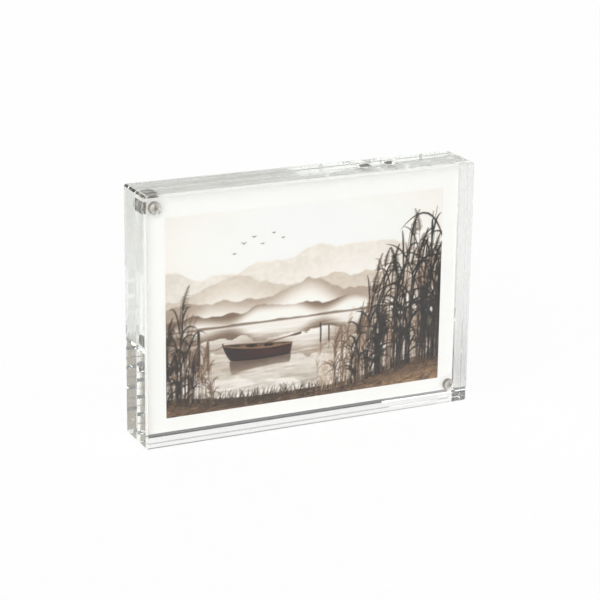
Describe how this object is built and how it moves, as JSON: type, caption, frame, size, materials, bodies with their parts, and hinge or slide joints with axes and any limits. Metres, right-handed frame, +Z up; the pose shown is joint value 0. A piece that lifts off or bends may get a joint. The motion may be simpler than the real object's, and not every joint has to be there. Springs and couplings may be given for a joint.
{
  "type": "acrylic block picture frame",
  "caption": "Free-standing picture frame of clear acrylic blocks that magnets hold face to face, with a bordered print pressed between them.",
  "frame": {"origin": "middle of the footprint, on the surface the frame stands on", "axes": "+X along the width, to the right as seen from the front; +Y from the front to the back; +Z up"},
  "size_m": [0.1778, 0.0274, 0.127],
  "materials": {
    "clear_acrylic": "polished",
    "photo_paper": "satin",
    "nickel_plate": "polished"
  },
  "bodies": {
    "rear": {"rear_block": "clear_acrylic", "rear_magnet_top_left": "nickel_plate", "rear_magnet_bottom_right": "nickel_plate"},
    "front": {"front_block": "clear_acrylic", "front_magnet_top_left": "nickel_plate", "front_magnet_bottom_right": "nickel_plate"},
    "print": {"photo_print": "photo_paper"}
  },
  "joints": [
    {"name": "front_pull", "type": "slide", "parent": "rear", "child": "front", "axis": [0, -1, 0], "range_m": [0, 0.08]},
    {"name": "print_lift", "type": "slide", "parent": "rear", "child": "print", "axis": [0, 0, 1], "range_m": [0, 0.125]}
  ]
}
